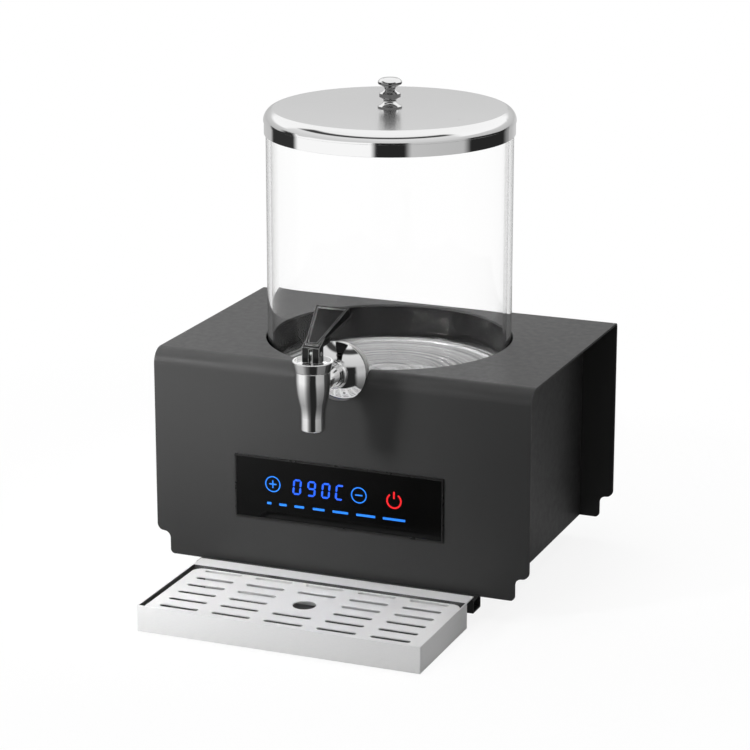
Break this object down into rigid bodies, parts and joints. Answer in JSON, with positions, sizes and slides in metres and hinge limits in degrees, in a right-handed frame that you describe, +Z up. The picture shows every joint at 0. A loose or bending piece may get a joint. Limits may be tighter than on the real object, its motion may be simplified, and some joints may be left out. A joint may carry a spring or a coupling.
{
  "type": "hot chocolate dispenser",
  "caption": "Heated drink dispenser with a clear lift-out vessel and lever tap, domed metal lid with knob, touch display and slide-out drip tray under a lift-out grid.",
  "frame": {"origin": "centre of the overall box in X and Y, on the table that the feet stand on", "axes": "+Z up, -Y towards the user (tap, display and drip tray), +X to the user's right"},
  "size_m": [0.345, 0.3704, 0.4353],
  "materials": {
    "black_steel": "satin charcoal powder coat",
    "side_steel": "satin charcoal powder coat",
    "zinc_plate": "plain zinc-coated sheet",
    "well_steel": "dark polished sheet",
    "fasteners": "bright zinc",
    "foot_rubber": "matt black",
    "tray_steel": "satin brushed stainless steel",
    "grid_steel": "satin stainless steel",
    "plate_steel": "spun stainless steel",
    "seal_silicone": "translucent pale silicone",
    "element_steel": "heat-darkened sheath",
    "insulation_wool": "pressed mineral wool",
    "cutout_ceramic": "pale ceramic-filled body",
    "clear_vessel": "clear and polished",
    "lid_chrome": "mirror",
    "knob_chrome": "mirror",
    "tap_chrome": "mirror",
    "stem_steel": "bright",
    "handle_black": "satin moulded",
    "bezel_black": "satin moulded",
    "display_glass": "polished",
    "circuit_board": "solder-masked board",
    "electronic_parts": "moulded",
    "transformer_core": "varnished laminations",
    "terminal_plastic": "moulded",
    "inlet_plastic": "moulded"
  },
  "bodies": {
    "cabinet": {"base_plate": "zinc_plate", "base_screws": "fasteners", "board_posts": "terminal_plastic", "board_screws": "fasteners", "board_socket": "electronic_parts", "bracket_screws": "fasteners", "control_board": "circuit_board", "control_chip": "electronic_parts", "cutout_screws": "fasteners", "display_bezel": "bezel_black", "display_board": "circuit_board", "display_glass": "display_glass", "display_screws": "fasteners", "display_socket": "electronic_parts", "element_clamp": "zinc_plate", "feet": "foot_rubber", "foot_screws": "fasteners", "heat_shield": "zinc_plate", "heater_relay": "electronic_parts", "heating_element": "element_steel", "heating_plate": "plate_steel", "housing_wrap": "black_steel", "inlet_screws": "fasteners", "insulation_disc": "insulation_wool", "plate_seal": "seal_silicone", "power_inlet": "inlet_plastic", "side_panel_left": "side_steel", "side_panel_right": "side_steel", "stud_nuts": "fasteners", "temperature_probe": "element_steel", "terminal_block": "terminal_plastic", "terminal_screws": "fasteners", "thermal_cutout": "cutout_ceramic", "transformer": "transformer_core", "tray_bracket": "black_steel", "well_wall": "well_steel"},
    "vessel_body": {"vessel": "clear_vessel", "tap_body": "tap_chrome", "tap_bonnet": "tap_chrome", "bonnet_seal": "seal_silicone", "tap_rosette": "tap_chrome", "outer_washer": "seal_silicone", "inner_washer": "seal_silicone", "tap_nut": "tap_chrome", "tap_spring": "stem_steel"},
    "lid": {"lid_shell": "lid_chrome", "lid_seal": "seal_silicone", "lid_knob": "knob_chrome", "knob_screw": "fasteners"},
    "valve_stem": {"tap_stem": "stem_steel", "seat_cup": "seal_silicone"},
    "tap_lever": {"tap_handle": "handle_black", "handle_pin": "stem_steel"},
    "drip_tray": {"tray_pan": "tray_steel"},
    "drip_grid": {"tray_grid": "grid_steel"}
  },
  "joints": [
    {"name": "vessel_lift", "type": "slide", "parent": "cabinet", "child": "vessel_body", "axis": [0, 0, 1], "range_m": [0, 0.08]},
    {"name": "lid_lift", "type": "slide", "parent": "vessel_body", "child": "lid", "axis": [0, 0, 1], "range_m": [0, 0.06]},
    {"name": "stem_lift", "type": "slide", "parent": "vessel_body", "child": "valve_stem", "axis": [0, 0, 1], "range_m": [0, 0.005], "stiffness_N_per_m": 12, "springref_m": -0.008, "deforming": ["tap_spring"]},
    {"name": "lever_pull", "type": "hinge", "parent": "valve_stem", "child": "tap_lever", "pos_m": [0, -0.10575, 0.2345], "axis": [1, 0, 0], "range_deg": [0, 70], "stiffness_Nm_per_rad": 0.012, "springref_deg": -28.65},
    {"name": "tray_slide", "type": "slide", "parent": "cabinet", "child": "drip_tray", "axis": [0, -1, 0], "range_m": [0, 0.12]},
    {"name": "grid_lift", "type": "slide", "parent": "drip_tray", "child": "drip_grid", "axis": [0, 0, 1], "range_m": [0, 0.06]}
  ],
  "couplings": [
    {"joint": "stem_lift", "follows": "lever_pull", "m_per_rad": 0.00409}
  ]
}
